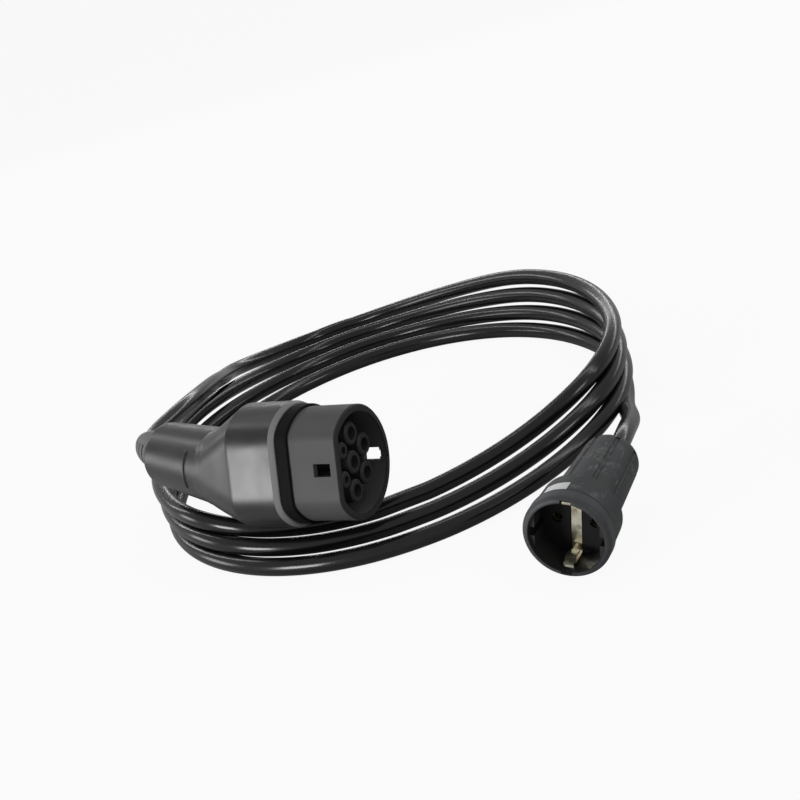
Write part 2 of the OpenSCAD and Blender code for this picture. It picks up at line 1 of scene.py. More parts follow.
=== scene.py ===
import bpy
import json
import math
import numpy as np
from mathutils import Matrix, Vector


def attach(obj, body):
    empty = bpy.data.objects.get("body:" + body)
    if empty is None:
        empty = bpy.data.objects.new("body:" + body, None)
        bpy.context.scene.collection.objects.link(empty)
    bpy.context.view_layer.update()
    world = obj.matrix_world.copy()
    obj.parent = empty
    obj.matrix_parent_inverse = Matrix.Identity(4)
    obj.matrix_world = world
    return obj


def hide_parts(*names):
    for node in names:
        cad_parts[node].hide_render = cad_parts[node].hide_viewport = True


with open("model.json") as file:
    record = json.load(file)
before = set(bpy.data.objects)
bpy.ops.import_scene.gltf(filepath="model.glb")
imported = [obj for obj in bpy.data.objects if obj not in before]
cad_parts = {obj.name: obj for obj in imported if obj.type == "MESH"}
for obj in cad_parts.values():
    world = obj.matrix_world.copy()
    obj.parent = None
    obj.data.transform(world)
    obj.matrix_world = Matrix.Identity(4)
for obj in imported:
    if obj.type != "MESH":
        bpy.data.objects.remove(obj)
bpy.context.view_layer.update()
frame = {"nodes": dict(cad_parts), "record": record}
millimetre = 0.001

shot = {"place": (475, -681, 378), "azimuth": 32, "elevation": 20, "roll": 20, "lens": 74.25, "sensor": 36,
        "clip": (0.05, 60)}


# looks along azimuth and elevation, then rolls about its own axis
def makeCamera(shot):
    turn, dip, roll = (math.radians(shot[k]) for k in ("azimuth", "elevation", "roll"))
    forward = Vector((-math.sin(turn) * math.cos(dip), math.cos(turn) * math.cos(dip), -math.sin(dip)))
    level = Vector((math.cos(turn), math.sin(turn), 0))
    upright = level.cross(forward)
    up = upright * math.cos(roll) + level * math.sin(roll)
    right = level * math.cos(roll) - upright * math.sin(roll)
    camera = bpy.data.objects.new("camera", bpy.data.cameras.new("camera"))
    bpy.context.scene.collection.objects.link(camera)
    camera.data.lens, camera.data.sensor_width = shot["lens"], shot["sensor"]
    camera.data.clip_start, camera.data.clip_end = shot["clip"]
    turned = Matrix((right, up, -forward)).transposed().to_4x4()
    camera.matrix_world = Matrix.Translation(Vector(shot["place"]) * millimetre) @ turned
    bpy.context.scene.camera = camera


makeCamera(shot)
print("camera made")


# points is rings x sides x 3 in millimetres: a quad joins each point to its neighbours along and across,
# and a fan about the ring's mean closes each open end
def gridMesh(name, points, closedAcross=True, closedAlong=False, caps=True, uv=None):
    rings, sides = points.shape[:2]
    along = np.arange(rings if closedAlong else rings - 1)
    across = np.arange(sides if closedAcross else sides - 1)
    i, j = np.meshgrid(along, across, indexing="ij")
    nextI, nextJ = (i + 1) % rings, (j + 1) % sides
    quads = np.stack([i * sides + j, i * sides + nextJ, nextI * sides + nextJ, nextI * sides + j], -1)
    faces = quads.reshape(-1, 4).tolist()
    vertices = points.reshape(-1, 3)
    if caps and not closedAlong:
        middle = np.stack([points[0].mean(0), points[-1].mean(0)])
        first = len(vertices)
        vertices = np.concatenate([vertices, middle])
        ring = np.arange(sides)
        after = (ring + 1) % sides
        last = (rings - 1) * sides
        faces += np.stack([after, ring, np.full(sides, first)], -1).tolist()
        faces += np.stack([last + ring, last + after, np.full(sides, first + 1)], -1).tolist()
    mesh = bpy.data.meshes.new(name)
    mesh.from_pydata((vertices * millimetre).tolist(), [], faces)
    if uv is not None:
        # per corner, so the last side runs on to the full way round
        around, lengthwise = uv
        steps = (0, 0), (0, 1), (1, 1), (1, 0)
        quadCorners = np.stack([np.stack([around[j + dj], lengthwise[i + di]], -1) for di, dj in steps], -2)
        corners = np.zeros((len(mesh.loops), 2), np.float32)
        corners[:quadCorners.size // 2] = quadCorners.reshape(-1, 2)
        mesh.uv_layers.new(name="along").data.foreach_set("uv", corners.ravel())
    piece = bpy.data.objects.new(name, mesh)
    bpy.context.scene.collection.objects.link(piece)
    return piece


# smooth faces, with edges sharper than the given angle kept crisp
def smoothShading(piece, sharp):
    piece.data.shade_smooth()
    piece.data.set_sharp_from_angle(angle=math.radians(sharp))
    return piece


# a turn about axis 0, 1 or 2: the cosine and sine of the angle in the plane of the other two
def turnAbout(axis, degrees):
    a = math.radians(degrees)
    i, j = (axis + 1) % 3, (axis + 2) % 3
    turn = np.eye(3)
    turn[i, i] = turn[j, j] = math.cos(a)
    turn[i, j], turn[j, i] = -math.sin(a), math.sin(a)
    return turn


# from none to one with level ends: 3 x squared less 2 x cubed
def smooth(x):
    c = np.clip(x, 0, 1)
    return c * c * (3 - 2 * c)


cable = {
    "diameter": 10.4, "sides": 64, "ring": 3.0,
    "leadIn": [  # out of the boot and down behind the coil's left side
        (-156, 44, 61), (-161, 52, 60), (-165, 63, 59.5), (-168, 79, 58.5), (-171, 99, 57),
        (-178, 126, 53), (-190, 156, 46.5), (-205, 189, 38), (-218, 216, 30), (-227.8, 239.7, 23.9)],
    "leadOut": [  # from the last turn up into the coupler
        (81.4, 205, 5.2), (94, 179, 5.4), (105, 151, 6.5), (115, 123, 9.5), (127, 97, 14),
        (134, 73, 19.5), (138, 52, 22.3), (139, 35.5, 22.6)],
    "centre": (-106, 204), "halfAxes": (149.4, 172.5), "turn": 33.8,
    "turns": (0.15, 3.5), "pointsPerTurn": 24,
    "step": (19.2, -22.7), "shrink": 0.009,  # how far each turn moves on, and by what share it shrinks
    "pitch": 11.3, "lean": (1.38, -1.5), "side": (26, 86)}  # how turns stack at the sides, in mm and degrees


# each turn is an ellipse that steps across and shrinks a little; on its left and right sides a turn is
# lifted onto the turns below it, one pitch for each, with a smooth step of the angle from the side
def coilPoints(c, n):
    t = math.pi - 2 * math.pi * n
    degrees = 180 - 360 * n
    size = 1 - c["shrink"] * n
    u, v = c["halfAxes"][0] * np.cos(t) * size, c["halfAxes"][1] * np.sin(t) * size
    fromSide = np.abs((degrees + 90) % 180 - 90)
    side = 1 - smooth((fromSide - c["side"][0]) / (c["side"][1] - c["side"][0]))
    below = np.where(np.cos(t) > 0, np.maximum(0, 3 - np.floor(n)), np.maximum(0, 3 - np.floor(n + 0.5)))
    lift = c["pitch"] * below * side
    a = math.radians(c["turn"])
    x = c["centre"][0] + c["step"][0] * n + u * math.cos(a) - v * math.sin(a) + c["lean"][0] * lift
    y = c["centre"][1] + c["step"][1] * n + u * math.sin(a) + v * math.cos(a) + c["lean"][1] * lift
    return np.stack([x, y, c["diameter"] / 2 + lift], -1)


# a natural cubic spline through the points by chord length, sampled again at an even spacing
def throughPoints(points, spacing):
    chord = np.concatenate([[0], np.cumsum(np.linalg.norm(np.diff(points, axis=0), axis=1))])
    h = np.diff(chord)
    count = len(points)
    inner = np.arange(1, count - 1)
    system = np.eye(count)
    system[inner, inner - 1], system[inner, inner + 1] = h[:-1], h[1:]
    system[inner, inner] = 2 * (h[:-1] + h[1:])
    change = np.zeros((count, 3))
    change[1:-1] = 6 * np.diff(np.diff(points, axis=0) / h[:, None], axis=0)
    bend = np.linalg.solve(system, change)
    s = np.linspace(0, chord[-1], int(chord[-1] / spacing) + 1)
    i = np.clip(np.searchsorted(chord, s, side="right") - 1, 0, count - 2)
    done, left, g = (s - chord[i])[:, None], (chord[i + 1] - s)[:, None], h[i][:, None]
    return (bend[i] * left ** 3 + bend[i + 1] * done ** 3) / (6 * g) \
        + (points[i] / g - bend[i] * g / 6) * left + (points[i + 1] / g - bend[i + 1] * g / 6) * done


# circles square to the path: cosine of the angle level across it, sine upwards
def tubeRings(path, radius, sides):
    ahead = np.gradient(path, axis=0)
    ahead /= np.linalg.norm(ahead, axis=1)[:, None]
    across = np.cross(ahead, (0, 0, 1.0))
    across /= np.linalg.norm(across, axis=1)[:, None]
    upright = np.cross(across, ahead)
    a = np.linspace(0, 2 * math.pi, sides, endpoint=False)[None, :, None]
    return path[:, None] + radius * (np.cos(a) * across[:, None] + np.sin(a) * upright[:, None])


# the lead in, the turns and the lead out on one smooth curve, with a round tube along it
def makeCable(c):
    first, last = c["turns"]
    radius = c["diameter"] / 2
    n = np.linspace(first, last, int((last - first) * c["pointsPerTurn"]) + 1)
    route = np.concatenate([np.array(c["leadIn"]), coilPoints(c, n)[1:-1], np.array(c["leadOut"])])
    path = throughPoints(route, c["ring"])
    path[:, 2] = np.maximum(path[:, 2], radius)  # it lies on the floor and never in it
    rings = tubeRings(path, radius, c["sides"])
    lengthwise = np.arange(len(path)) * c["ring"] * millimetre
    around = np.arange(c["sides"] + 1) / c["sides"] * math.pi * c["diameter"] * millimetre
    piece = smoothShading(gridMesh("cable", rings, uv=(around, lengthwise)), 60)
    length = np.linalg.norm(np.diff(path, axis=0), axis=1).sum() * millimetre
    print("cable length", round(length, 4), "lowest", path[:, 2].min() - radius)
    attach(piece, "root")
    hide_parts("cable_lead_in", "cable_coil", "cable_lead_out")
    path[0] * millimetre
    path * millimetre
    return piece


cablePiece = makeCable(cable)

# radius, flat's distance from the axis and corner radius, where three numbers stand for a keyed section
plug = {
    "place": (9.9, 5.2, 50.7), "turn": -1.2, "dip": 4.25, "roll": 19, "sides": 240,
    "nose": (31.5, 25.5, 9), "noseLength": 29.5, "noseSeat": 11, "noseGap": 0.2, "wall": 3.2,
    "sealLength": 7.5, "seal": {"out": 1.5, "roll": 0.9, "back": 0.3, "lap": 0.01},
    "housing": (35, 29, 11), "housingLength": 31,
    "rim": {"length": 3.1, "drop": 1.1, "face": 2.4, "edge": 0.15, "blend": 0.1},
    "handleStart": (-1.4, -5.8, -94), "handleBend": 14.8, "handleSwing": 7.5,
    "handleRadii": (22.4, 18.8), "handleLength": 54, "endRound": 6, "holeRadius": 9.6,
    "blend": 7, "soft": (-9, -6, -3, 0, 3, 6, 9),  # mm of the rolled edge at the handle, degrees at the flat's ends
    "innerEdge": 2.5, "wallInHandle": (20, 2), "wallInCone": (54, 44, 33), "pocket": 8,
    "panel": {"width": 22, "widthAt": 6, "from": 11, "to": -0.5, "depth": 0.4, "edge": 0.3, "step": 0.25,
              "bead": 0.45, "beadHalf": 0.8}}
sealBack = -plug["noseLength"] - plug["sealLength"]  # where the housing's rim starts, on the plug's axis
handleFrom = sealBack - plug["handleStart"][2]  # distance from the rim to the handle

boot = {
    "length": 27, "bend": 36, "radii": (12.6, 8.2), "sides": 120,
    "collar": [(-5.7, 13), (-3.2, 13), (-3.2, 9.5), (0, 9.5)],  # place and radius inside the housing
    "shoulder": [(0, -0.4), (0.1, -0.1), (0.4, 0)],  # place and step from the root's radius
    "lip": [(1, 0.3), (0.5, 0.05), (0.1, -0.5), (0, -1)],  # distance from the end and step from the tip's radius
    "boreAt": (27, 21, 15, 9, 3, -5.7), "boreGap": 0.05,
    "slots": {"count": 4, "first": 6.5, "step": 4.4, "width": 1.6, "depth": 0.8, "half": 26, "edge": 5,
              "corner": 0.15}}


# the plug's own axes: its face at z 0, the nose pointing along z
def onPlug(points):
    turned = turnAbout(2, plug["turn"]) @ turnAbout(1, 90 + plug["dip"]) @ turnAbout(2, 180 - plug["roll"])
    return points @ turned.T + np.array(plug["place"])


# distance from the axis to a circle of radius r cut by a flat at f, with corners of radius c
def keyedRadius(a, r, f, c):
    x = np.sqrt((r - c) ** 2 - (f - c) ** 2)
    b = np.abs(a)
    flatEnd, cornerEnd = np.arctan2(x, f), np.arctan2(x, f - c)
    offCorner = np.maximum(0, c * c - ((r - c) * np.sin(b - cornerEnd)) ** 2)
    corner = (r - c) * np.cos(b - cornerEnd) + np.sqrt(offCorner)
    return np.where(b < flatEnd, f / np.cos(b), np.where(b < cornerEnd, corner, r))


# turned about the handle's start by a share of its swing and bend
def bent(points, share):
    w, b = math.radians(plug["handleSwing"]) * share, math.radians(plug["handleBend"]) * share
    x, y, z = points[..., 0], points[..., 1], points[..., 2]
    x, z = x * np.cos(w) - z * np.sin(w), x * np.sin(w) + z * np.cos(w)
    return np.stack([x, y * np.cos(b) + z * np.sin(b), z * np.cos(b) - y * np.sin(b)], -1)


# from the first radius to the last in even change along the handle
def handleRadius(on):
    first, last = plug["handleRadii"]
    return first + (last - first) * on / plug["handleLength"]


# centre, share of bend, radius, flat and corner at distance s back from the seal's rear face: the body runs
# straight, then a cone of even change leads to the round handle
def housingSection(s):
    length = plug["housingLength"]
    r, f, c = plug["housing"]
    start = np.array(plug["handleStart"])
    if s > handleFrom:
        on = s - handleFrom
        radius = handleRadius(on)
        return np.array([*(start + bent(np.array([0, 0, -on]), 1.0)), 1, radius, radius, radius])
    k = np.clip((s - length) / (handleFrom - length), 0, 1)
    straight = np.array([0, 0, sealBack - min(s, length)])
    round0 = plug["handleRadii"][0]
    sizes = (size * (1 - k) + round0 * k for size in (r, f, c))
    return np.array([*(straight * (1 - k) + start * k), k, *sizes])


# a running mean of the section numbers over a short width, only near one place, for a rolled edge
def softened(rows, s, at, width, samples=9):
    out = rows.copy()
    for i in np.flatnonzero(np.abs(s - at) < width):
        reach = width - abs(s[i] - at)
        near = np.linspace(s[i] - reach, s[i] + reach, samples)
        out[i] = np.stack([np.interp(near, s, rows[:, k]) for k in range(rows.shape[1])], -1).mean(0)
    return out


# the section's outline as a mean of keyed radii over neighbouring angles, which lets the flat run softly
# into the round part, less an inset and a dent
def sectionRing(row, angles, inset=0.0, dent=0.0, soft=plug["soft"]):
    r, f, c = row[4] - inset, row[5] - inset, max(row[6] - inset, 1.0)
    sizes = r, min(f, r - 0.001), min(c, f - 0.01, r - 0.01)
    wrapped = [(angles + turn + math.pi) % (2 * math.pi) - math.pi for turn in np.radians(soft)]
    d = np.mean([keyedRadius(a, *sizes) for a in wrapped], 0) - dent
    flat = np.stack([d * np.sin(angles), d * np.cos(angles), np.zeros_like(d)], -1)
    return row[:3] + bent(flat, row[3])


# depth of the thumb panel at a distance along the handle: it runs in evenly, steps out at its back edge,
# and a round bead stands just behind it
def panelDepth(onHandle):
    panel = plug["panel"]
    runIn = np.clip((onHandle - panel["to"]) / (panel["from"] - panel["to"]), 0, 1)
    ends = 1 - smooth((onHandle - panel["from"]) / panel["step"])
    fromBead = abs(onHandle - panel["from"] - panel["beadHalf"])
    return panel["depth"] * runIn * ends - panel["bead"] * smooth(1 - fromBead / panel["beadHalf"])


# a closed shell lofted along the plug: outer wall from the rim to the rounded end, then back inside
def makeHousing(p):
    panel, rim, wall = p["panel"], p["rim"], p["wall"]
    angles = np.linspace(-math.pi, math.pi, p["sides"], endpoint=False)
    panelRadius = handleRadius(panel["widthAt"])
    halfAngle = np.arcsin(panel["width"] / 2 / panelRadius)
    acrossPanel = smooth((halfAngle - np.abs(angles)) * panelRadius / panel["edge"] + 0.5)
    bodyEnd, panelEnd = p["housingLength"], handleFrom + panel["from"]
    lastStraight = p["handleLength"] - p["endRound"]
    stops = np.unique(np.concatenate([  # closer together at the body's end, the handle's start and the panel's end
        np.linspace(0, bodyEnd, 16), [bodyEnd + 0.25],
        np.linspace(bodyEnd + 0.5, handleFrom + p["handleLength"] - p["endRound"], 90),
        panelEnd + np.array([-0.5, -0.2, 0.0, 0.25]), panelEnd + 0.8 + np.linspace(-0.8, 0.8, 7),
        np.arange(handleFrom - 4, handleFrom + 5, 0.5)]))
    rows = softened(np.array([housingSection(s) for s in stops]), stops, handleFrom, p["blend"])
    rimShape = [(0, rim["face"]), (0, rim["drop"] + rim["edge"]), (rim["edge"], rim["drop"]),
                (rim["length"] - rim["blend"], 0.05), (rim["length"], 0), (rim["length"] + rim["blend"], 0)]
    rings = [sectionRing(housingSection(s), angles, inset) for s, inset in rimShape]
    for s, row in zip(stops, rows):
        if s >= rim["length"] + rim["edge"]:
            rings.append(sectionRing(row, angles, dent=panelDepth(s - handleFrom) * acrossPanel))

    def roundRing(on, radius):
        row = housingSection(handleFrom + on)
        row[4:] = radius
        rings.append(sectionRing(row, angles))

    for a in np.radians(np.linspace(7, 90, 10)):  # the rounded end
        roundRing(p["handleLength"] - p["endRound"] * (1 - math.sin(a)),
                  handleRadius(lastStraight) - p["endRound"] * (1 - math.cos(a)))
    insideEnd = p["handleLength"] - wall
    roundRing(p["handleLength"], p["holeRadius"])
    roundRing(insideEnd, p["holeRadius"])
    roundRing(insideEnd - 0.1, handleRadius(insideEnd - 0.1) - wall - p["innerEdge"])
    for on in (insideEnd - p["innerEdge"], *p["wallInHandle"]):
        roundRing(on, handleRadius(on) - wall)
    for s in p["wallInCone"]:
        rings.append(sectionRing(housingSection(s), angles, wall))
    seat = sealBack - p["noseSeat"]
    inner, nose = [v - wall for v in p["housing"]], [v + p["noseGap"] for v in p["nose"]]
    for z, sizes in [(seat - p["pocket"], inner), (seat, inner), (seat, nose), (sealBack, nose)]:
        rings.append(sectionRing(np.array([0, 0, z, 0, *sizes]), angles, soft=(0,)))
    return smoothShading(gridMesh("plugHousing", onPlug(np.array(rings)), closedAlong=True), 28)


# the rubber ring between the housing's rim and the nose, a little smaller than the rim: the nose's outline
# set out by each step, its front edge rolled through a quarter circle
def makeSeal(p):
    angles = np.linspace(-math.pi, math.pi, p["sides"], endpoint=False)
    front, seal = -p["noseLength"], p["seal"]
    outline = [(sealBack, seal["lap"]), (sealBack, seal["out"] - seal["back"]), (sealBack + seal["back"], seal["out"])]
    for a in np.radians(np.linspace(0, 90, 7)):
        outline.append((front - seal["roll"] * (1 - math.sin(a)), seal["out"] - seal["roll"] * (1 - math.cos(a))))
    outline.append((front, seal["lap"]))
    rings = [sectionRing(np.array([0, 0, z, 0, *(v + out for v in p["nose"])]), angles, soft=(0,))
             for z, out in outline]
    return smoothShading(gridMesh("plugSeal", onPlug(np.array(rings)), closedAlong=True), 35)


# a circle square to the boot's axis, which bends down through an arc from the housing's end
def bootRing(t, radius, angles):
    arc = boot["length"] / math.radians(boot["bend"])
    a = math.radians(boot["bend"]) * max(t, 0) / boot["length"]
    centre = np.array([0, -arc * (1 - math.cos(a)), -plug["handleLength"] - (t if t < 0 else arc * math.sin(a))])
    across = radius * np.cos(angles)
    return centre + np.stack([radius * np.sin(angles), across * math.cos(a), -across * math.sin(a)], -1)


# from the root's radius to the tip's in even change
def sleeveRadius(t):
    root, tip = boot["radii"]
    return root - (root - tip) * t / boot["length"]


# a tapered sleeve bent down with the cable, with short slots in rows on its two broad sides
def makeBoot(b):
    angles = np.linspace(0, 2 * math.pi, b["sides"], endpoint=False)
    slots, corner = b["slots"], b["slots"]["corner"]
    fromBroad = np.degrees(np.abs((angles + math.pi / 2) % math.pi - math.pi / 2))
    inSlot = 1 - smooth((fromBroad - slots["half"]) / slots["edge"])
    root, tip = b["radii"]
    rings = [bootRing(t, radius, angles) for t, radius in b["collar"]]
    rings += [bootRing(t, root + step, angles) for t, step in b["shoulder"]]
    for k in range(slots["count"]):
        start = slots["first"] + slots["step"] * k
        end = start + slots["width"]
        for t, share in [(start - corner, 0), (start, 0.15), (start + corner, 1),
                         (end - corner, 1), (end, 0.15), (end + corner, 0)]:
            rings.append(bootRing(t, sleeveRadius(t) - slots["depth"] * share * inSlot, angles))
        between = (end + start + slots["step"]) / 2
        rings.append(bootRing(between, sleeveRadius(between), angles))
    rings += [bootRing(b["length"] - back, tip + step, angles) for back, step in b["lip"]]
    rings += [bootRing(t, cable["diameter"] / 2 + b["boreGap"], angles) for t in b["boreAt"]]
    onHandle = np.array(plug["handleStart"]) + bent(np.array(rings), 1.0)
    return smoothShading(gridMesh("plugBoot", onPlug(onHandle), closedAlong=True), 35)


housingPiece, sealPiece, bootPiece = makeHousing(plug), makeSeal(plug), makeBoot(boot)
for piece, node, slot in ((housingPiece, "plug_housing", "housing"), (sealPiece, "nose_seal", "seal"),
                          (bootPiece, "plug_boot", "boot")):
    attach(piece, "root")
    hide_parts(node)
print("housing, seal and boot made")

coupler = {
    "place": (140.7, -48, 22.6), "turn": 1.2,
    "groove": (8.0, 10.4), "paintedGrooveShade": (0.005, 0.005, 0.0055),  # painted shade colour for the step behind the front ring
    # the recess, with the painted shade colour of its wall
    "recess": 19.7, "recessDepth": 20, "paintedRecessShade": (0.013, 0.0135, 0.014)}


# the coupler's own axes: its face at z 0, its opening along z
def onCoupler(points):
    turned = turnAbout(2, coupler["turn"]) @ turnAbout(0, 90)
    return points @ turned.T + np.array(coupler["place"])


# a shader socket that takes part in plain arithmetic
class Value:
    def __init__(self, recipe, socket):
        self.recipe, self.socket = recipe, socket

    def maths(self, operation, first, second):
        return self.recipe.add("ShaderNodeMath", {"operation": operation}, {0: first, 1: second})

    def __add__(self, other):
        return self.maths("ADD", self, other)

    def __radd__(self, other):
        return self.maths("ADD", other, self)

    def __sub__(self, other):
        return self.maths("SUBTRACT", self, other)

    def __rsub__(self, other):
        return self.maths("SUBTRACT", other, self)

    def __mul__(self, other):
        return self.maths("MULTIPLY", self, other)

    def __rmul__(self, other):
        return self.maths("MULTIPLY", other, self)

    # none below low, one above high, smooth between
    def within(self, low, high):
        return self.recipe.add("ShaderNodeMapRange", {"interpolation_type": "SMOOTHSTEP"}, {0: self, 1: low, 2: high})


# one material: a Principled shader and the nodes that feed it
class Recipe:
    edge = 0.05 * millimetre  # half the width over which a mask turns

    def __init__(self, name):
        self.material = bpy.data.materials.new(name)
        self.material.use_nodes = True
        self.tree = self.material.node_tree
        self.shader = self.tree.nodes["Principled BSDF"]
        self.place = self.add("ShaderNodeTexCoord", output="Object")

    # a node of any kind: its settings first, then the values or links of its sockets
    def add(self, kind, settings=None, inputs=None, output=0):
        node = self.tree.nodes.new(kind)
        for key, value in (settings or {}).items():
            setattr(node, key, value)
        for key, value in (inputs or {}).items():
            self.feed(node.inputs[key], value)
        return Value(self, node.outputs[output])

    def feed(self, socket, value):
        if isinstance(value, Value):
            self.tree.links.new(value.socket, socket)
        elif isinstance(value, tuple) and socket.type == "RGBA":
            socket.default_value = (*value, 1)
        else:
            socket.default_value = value

    # clouds whose patches are about the given size in millimetres
    def noise(self, size, detail=3, roughness=0.5):
        return self.add("ShaderNodeTexNoise", None, {"Vector": self.place, "Scale": 1000 / size, "Detail": detail,
                                                     "Roughness": roughness})

    # fine lines: noise stretched by a scale of its own each way
    def lines(self, scale, detail=2.0, place=None):
        drawn = self.add("ShaderNodeMapping", None, {"Vector": place or self.place, "Scale": scale})
        return self.add("ShaderNodeTexNoise", None, {"Vector": drawn, "Scale": 1.0, "Detail": detail})

    # the middle of a piece's face and the way its axis points
    def axisOf(self, onPiece):
        face, ahead = onPiece(np.array([[0, 0, 0.0], [0, 0, 1.0]])) * millimetre
        return face, (ahead - face) / millimetre

    # one in front of a plane across the piece's axis, given as its distance from the face, none behind it
    def beyond(self, depth, onPiece):
        face, axis = self.axisOf(onPiece)
        along = self.add("ShaderNodeVectorMath", {"operation": "DOT_PRODUCT"}, {0: self.place, 1: tuple(axis)}, 1)
        plane = float(face @ axis) - depth * millimetre
        return along.within(plane - self.edge, plane + self.edge)

    # one nearer to the piece's axis than the radius, none further out: the length of the cross product
    def inside(self, radius, onPiece):
        face, axis = self.axisOf(onPiece)
        offset = self.add("ShaderNodeVectorMath", {"operation": "SUBTRACT"}, {0: self.place, 1: tuple(face)})
        across = self.add("ShaderNodeVectorMath", {"operation": "CROSS_PRODUCT"}, {0: offset, 1: tuple(axis)})
        distance = self.add("ShaderNodeVectorMath", {"operation": "LENGTH"}, {0: across}, 1)
        return 1 - distance.within(radius * millimetre - self.edge, radius * millimetre + self.edge)

    # a colour between two, by a factor
    def blend(self, factor, first, second):
        return self.add("ShaderNodeMix", {"data_type": "RGBA"}, {0: factor, 6: first, 7: second}, 2)

    def finish(self, colour, roughness, bump=None, strength=0.2, height=0.05, constants=None):
        self.feed(self.shader.inputs["Base Color"], colour)
        self.feed(self.shader.inputs["Roughness"], roughness)
        if bump is not None:
            relief = self.add("ShaderNodeBump", None, {"Strength": strength, "Distance": height * millimetre,
                                                       "Height": bump})
            self.feed(self.shader.inputs["Normal"], relief)
        for socket, value in (constants or {}).items():
            self.shader.inputs[socket].default_value = value
        return self.material


# spark-eroded moulded plastic: fine even grain, faint clouds in colour and gloss; front is a colour and gloss
# painted in front of a plane across the plug: the rim's painted highlight and the nose face's painted shade
def mouldedPlastic(name, dark, light, roughness, grain=0.45, shine=1.45, front=None):
    r = Recipe(name)
    clouds = r.noise(18, 4).within(0.3, 0.7)
    colour = r.blend(clouds, dark, light)
    gloss = roughness - 0.04 + 0.08 * clouds
    if front:
        inFront = r.beyond(front["depth"], onPlug)
        colour = r.blend(inFront, colour, front["colour"])
        gloss = gloss + inFront * (front["roughness"] - roughness)
    return r.finish(colour, gloss, r.noise(grain, 2), 0.35, 0.04, {"IOR": shine})


# rubber that has been handled: chalky smears and scratches over a dull dark body, painted shade as a near-black band
# in the step where the front ring meets the collar, and painted shade darkening the wall in the recess
def scuffedRubber(name, dark, light, chalk, amount):
    r = Recipe(name)
    body = r.blend(r.noise(14, 4).within(0.35, 0.65), dark, light)
    smears = r.noise(9, 8, roughness=0.68).within(0.52, 0.72)
    patches = r.noise(32, 2).within(0.42, 0.62)
    scratches = r.lines((260, 90, 700), 5.0).within(0.6, 0.68)
    worn = (smears * 0.75 + scratches * 0.5) * patches * amount
    inside = r.inside(coupler["recess"], onCoupler) * r.beyond(coupler["recessDepth"], onCoupler)
    grooveFrom, grooveTo = coupler["groove"]
    # painted shade: a near-black band just behind the front ring, outside the recess
    groove = (r.beyond(grooveTo, onCoupler) - r.beyond(grooveFrom, onCoupler)) * (1 - inside)
    colour = r.blend(groove, r.blend(worn, body, chalk), coupler["paintedGrooveShade"])
    # painted shade: the wall inside the recess made darker
    colour = r.blend(inside, colour, coupler["paintedRecessShade"])
    return r.finish(colour, 0.5 + 0.25 * worn + 0.06 * r.noise(6, 3), r.noise(0.5, 3) + 0.4 * smears, 0.3, 0.05)


# extruded jacket, glossy, with faint lines drawn along it and a few dull handling marks
def cableJacket(name, dark, light, roughness):
    r = Recipe(name)
    drawn = r.lines((600, 3, 1), place=r.add("ShaderNodeUVMap", {"uv_map": "along"}))
    marks = r.noise(22, 4, roughness=0.6).within(0.55, 0.75)
    return r.finish(r.blend(marks, dark, light), roughness + 0.04 * marks + 0.02 * drawn, constants={"IOR": 1.5})


# plated metal with soft clouds of tarnish and fine tool lines
def metalFinish(name, colour, worn, roughness):
    r = Recipe(name)
    tarnish = r.noise(5, 4).within(0.4, 0.7)
    return r.finish(r.blend(tarnish, colour, worn), roughness + 0.15 * tarnish, r.lines((300, 300, 4000)), 0.15, 0.02,
                    {"Metallic": 1.0})


# smooth film face with nothing on it, a little soiled
def paperLabel(name, white, soiled):
    r = Recipe(name)
    soil = r.noise(4, 5).within(0.5, 0.8)
    return r.finish(r.blend(soil * 0.2, white, soiled), 0.42 + 0.1 * soil, r.noise(0.8, 2), 0.08, 0.02)


